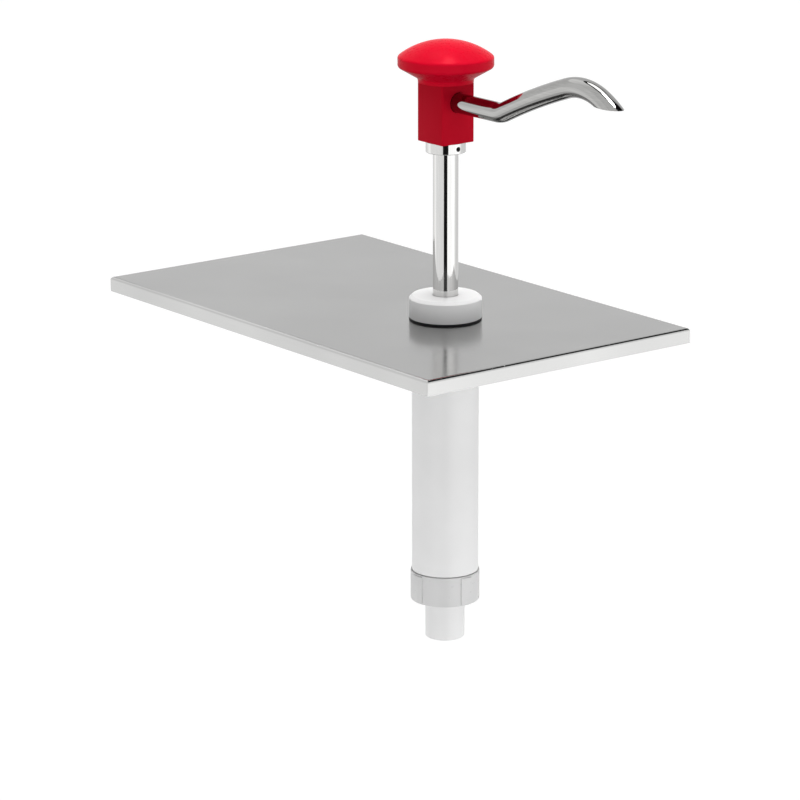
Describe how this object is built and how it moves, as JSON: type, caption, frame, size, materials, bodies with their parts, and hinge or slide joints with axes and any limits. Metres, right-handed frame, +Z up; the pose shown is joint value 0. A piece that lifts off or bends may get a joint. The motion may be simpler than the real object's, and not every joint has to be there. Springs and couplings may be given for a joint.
{
  "type": "sauce pump dispenser",
  "caption": "Push-down sauce pump through a folded sheet lid: mushroom knob, square head, bent spout, spring-return piston and ball valves.",
  "frame": {"origin": "centre of the lid's underside, the flat face that rests on the pan's rim", "axes": "+Z up along the pump's stroke, the spout points to -Y at rest, and the lid's long side lies along Y"},
  "size_m": [0.165, 0.3091, 0.3073],
  "materials": {
    "lid_steel": "satin sheet",
    "polished_steel": "polished tube",
    "white_plastic": "semi-gloss white moulding",
    "red_plastic": "semi-gloss red moulding",
    "black_rubber": "black rubber",
    "guide_plastic": "natural acetal",
    "cage_steel": "stamped stainless",
    "ball_steel": "ground ball",
    "spring_steel": "drawn wire",
    "black_screw": "blackened steel"
  },
  "bodies": {
    "base": {"lid_plate": "lid_steel", "lid_gasket": "black_rubber", "collar_nut": "white_plastic", "rod_guide": "guide_plastic", "rod_wiper": "black_rubber", "pump_cylinder": "white_plastic", "ring_nut": "white_plastic", "foot_valve_body": "white_plastic", "foot_seal": "black_rubber", "foot_cage": "cage_steel", "return_spring": "spring_steel"},
    "spring_carrier": {"spring_washer": "cage_steel"},
    "plunger": {"knob": "red_plastic", "head_block": "red_plastic", "spout": "polished_steel", "spout_seal": "black_rubber", "tube_seal": "black_rubber", "head_ferrule": "polished_steel", "ferrule_screw": "black_screw", "plunger_tube": "polished_steel", "piston": "guide_plastic", "piston_seal_upper": "black_rubber", "piston_seal_lower": "black_rubber", "piston_pin": "ball_steel"},
    "discharge_valve": {"discharge_ball": "ball_steel"},
    "foot_valve": {"foot_ball": "ball_steel"}
  },
  "joints": [
    {"name": "plunger_press", "type": "slide", "parent": "base", "child": "spring_carrier", "axis": [0, 0, -1], "range_m": [0, 0.0719], "stiffness_N_per_m": 440, "springref_m": -0.03, "deforming": ["return_spring"]},
    {"name": "plunger_swivel", "type": "hinge", "parent": "spring_carrier", "child": "plunger", "pos_m": [0, -0.0433, 0.05], "axis": [0, 0, 1], "continuous": true},
    {"name": "discharge_ball_lift", "type": "slide", "parent": "plunger", "child": "discharge_valve", "axis": [0, 0, 1], "range_m": [0, 0.003]},
    {"name": "foot_ball_lift", "type": "slide", "parent": "base", "child": "foot_valve", "axis": [0, 0, 1], "range_m": [0, 0.004]}
  ]
}
